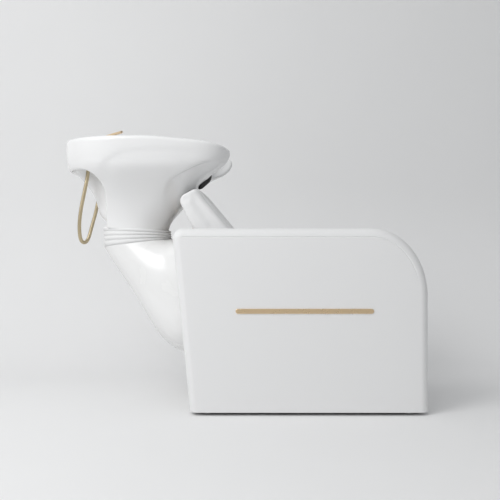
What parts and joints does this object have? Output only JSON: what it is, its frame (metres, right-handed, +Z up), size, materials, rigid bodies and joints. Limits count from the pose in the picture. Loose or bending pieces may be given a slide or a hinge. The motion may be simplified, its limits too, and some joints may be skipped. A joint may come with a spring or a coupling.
{
  "type": "salon shampoo chair",
  "caption": "Salon shampoo chair: padded seat between slab arms with gold strips, and a tilting ceramic bowl with mixer tap and hose on a moulded rear shell.",
  "frame": {"origin": "on the floor, at the middle of the outline seen from above", "axes": "+Z up, +X towards the client's feet along the chair's length, +Y to the client's left"},
  "size_m": [1.258, 0.64, 0.9799],
  "materials": {
    "white_glaze": "glossy white glaze on sanitary ceramic",
    "white_leatherette": "soft white leatherette with a fine grain, satin",
    "white_shell": "smooth white moulded shell, satin gloss",
    "white_panel": "white laminated board",
    "white_rubber": "white ribbed rubber, satin",
    "gold_metal": "brushed champagne gold",
    "gold_hose": "champagne gold metal hose",
    "black_gel": "soft black gel, matt",
    "frame_steel": "black powder coat on steel",
    "zinc_steel": "zinc-plated steel",
    "core_wood": "plain plywood",
    "foam": "upholstery foam",
    "foot_plastic": "dark plastic",
    "pipe_plastic": "grey-white waste pipe",
    "inlet_brass": "plain brass",
    "feed_rubber": "braided rubber hose"
  },
  "bodies": {
    "base": {"base_frame": "frame_steel", "right_arm_core": "core_wood", "left_arm_core": "core_wood", "right_arm_foam": "foam", "left_arm_foam": "foam", "right_arm_cover": "white_leatherette", "left_arm_cover": "white_leatherette", "right_trim": "gold_metal", "left_trim": "gold_metal", "arm_bolts": "zinc_steel", "foot_glides": "foot_plastic", "foot_screws": "zinc_steel", "seat_board": "core_wood", "seat_foam": "foam", "seat_cover": "white_leatherette", "back_board": "core_wood", "back_foam": "foam", "back_cover": "white_leatherette", "front_panel": "white_panel", "rear_panel": "white_panel", "column_post": "frame_steel", "column_bolts": "zinc_steel", "tilt_bracket": "frame_steel", "bracket_bolts": "zinc_steel", "pivot_pin": "zinc_steel", "pin_collar": "zinc_steel", "support_shell": "white_shell", "bellows": "white_rubber", "waste_outlet": "pipe_plastic", "waste_hose": "pipe_plastic", "hot_inlet": "inlet_brass", "cold_inlet": "inlet_brass", "hot_hose": "feed_rubber", "cold_hose": "feed_rubber"},
    "bowl": {"ceramic_bowl": "white_glaze", "neck_rest": "black_gel", "tilt_plate": "frame_steel", "tilt_bolts": "zinc_steel", "pivot_bushes": "foot_plastic", "drain_flange": "gold_metal", "drain_gasket": "feed_rubber", "drain_nut": "pipe_plastic", "waste_tail": "pipe_plastic", "mixer_body": "gold_metal", "mixer_nut": "inlet_brass", "mixer_cartridge": "foot_plastic", "shower_socket": "gold_metal", "hose_nipple": "gold_metal", "shower_hose": "gold_hose"},
    "swivel": {"lever_cap": "gold_metal", "lever_pin": "zinc_steel"},
    "lever": {"mixer_lever": "gold_metal"},
    "shower": {"hand_shower": "gold_metal", "spray_face": "foot_plastic"},
    "strainer": {"hair_strainer": "gold_metal"}
  },
  "joints": [
    {"name": "bowl_tilt", "type": "hinge", "parent": "base", "child": "bowl", "pos_m": [-0.3, 0, 0.578], "axis": [0, 1, 0], "range_deg": [-10, 0], "deforming": ["bellows", "waste_hose", "hot_hose", "cold_hose"]},
    {"name": "lever_swivel", "type": "hinge", "parent": "bowl", "child": "swivel", "pos_m": [-0.557, 0, 0.93], "axis": [0, 0, 1], "range_deg": [-45, 45]},
    {"name": "lever_lift", "type": "hinge", "parent": "swivel", "child": "lever", "pos_m": [-0.557, 0, 0.9384], "axis": [0, -1, 0], "range_deg": [0, 20]},
    {"name": "shower_lift", "type": "slide", "parent": "bowl", "child": "shower", "axis": [0, 0, 1], "range_m": [0, 0.12], "deforming": ["shower_hose"]},
    {"name": "strainer_lift", "type": "slide", "parent": "bowl", "child": "strainer", "axis": [0, 0, 1], "range_m": [0, 0.06]}
  ]
}
